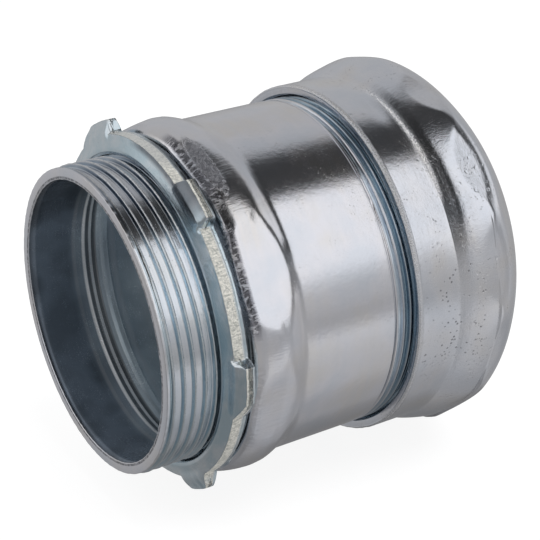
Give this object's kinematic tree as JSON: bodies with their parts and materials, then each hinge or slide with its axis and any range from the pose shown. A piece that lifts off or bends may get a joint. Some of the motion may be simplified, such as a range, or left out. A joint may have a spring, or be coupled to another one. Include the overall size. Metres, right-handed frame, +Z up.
{
  "type": "conduit compression connector",
  "caption": "Steel compression connector for thin-wall conduit: threaded nipple with lugged locknut, octagonal shoulder, plain barrel and twelve-sided gland nut over a split ring.",
  "frame": {"origin": "centre of the open end of the threaded nipple, on the fitting's axis", "axes": "+X along the fitting's axis, from the threaded end towards the conduit end; +Z up with the fitting lying on its side"},
  "size_m": [0.1134, 0.1136, 0.1136],
  "materials": {
    "shell_steel": "bright zinc plate, satin, faint blue cast",
    "nut_steel": "bright zinc plate, satin, small press marks",
    "ring_steel": "bright zinc plate, machined bevels",
    "locknut_steel": "bright zinc plate, rough sheared edge"
  },
  "bodies": {
    "shell": {"body": "shell_steel"},
    "ring": {"split_ring": "ring_steel"},
    "nut": {"gland_nut": "nut_steel"},
    "lock": {"locknut": "locknut_steel"}
  },
  "joints": [
    {"name": "ring_slide", "type": "slide", "parent": "shell", "child": "ring", "axis": [1, 0, 0], "range_m": [-0.0004, 0.014]},
    {"name": "nut_turn", "type": "hinge", "parent": "ring", "child": "nut", "pos_m": [0.093, 0, 0], "axis": [1, 0, 0], "range_deg": [-60, 2180]},
    {"name": "locknut_slide", "type": "slide", "parent": "shell", "child": "lock", "axis": [-1, 0, 0], "range_m": [-0.0012, 0.022]}
  ],
  "couplings": [
    {"joint": "ring_slide", "follows": "nut_turn", "m_per_rad": 0.0003675}
  ]
}
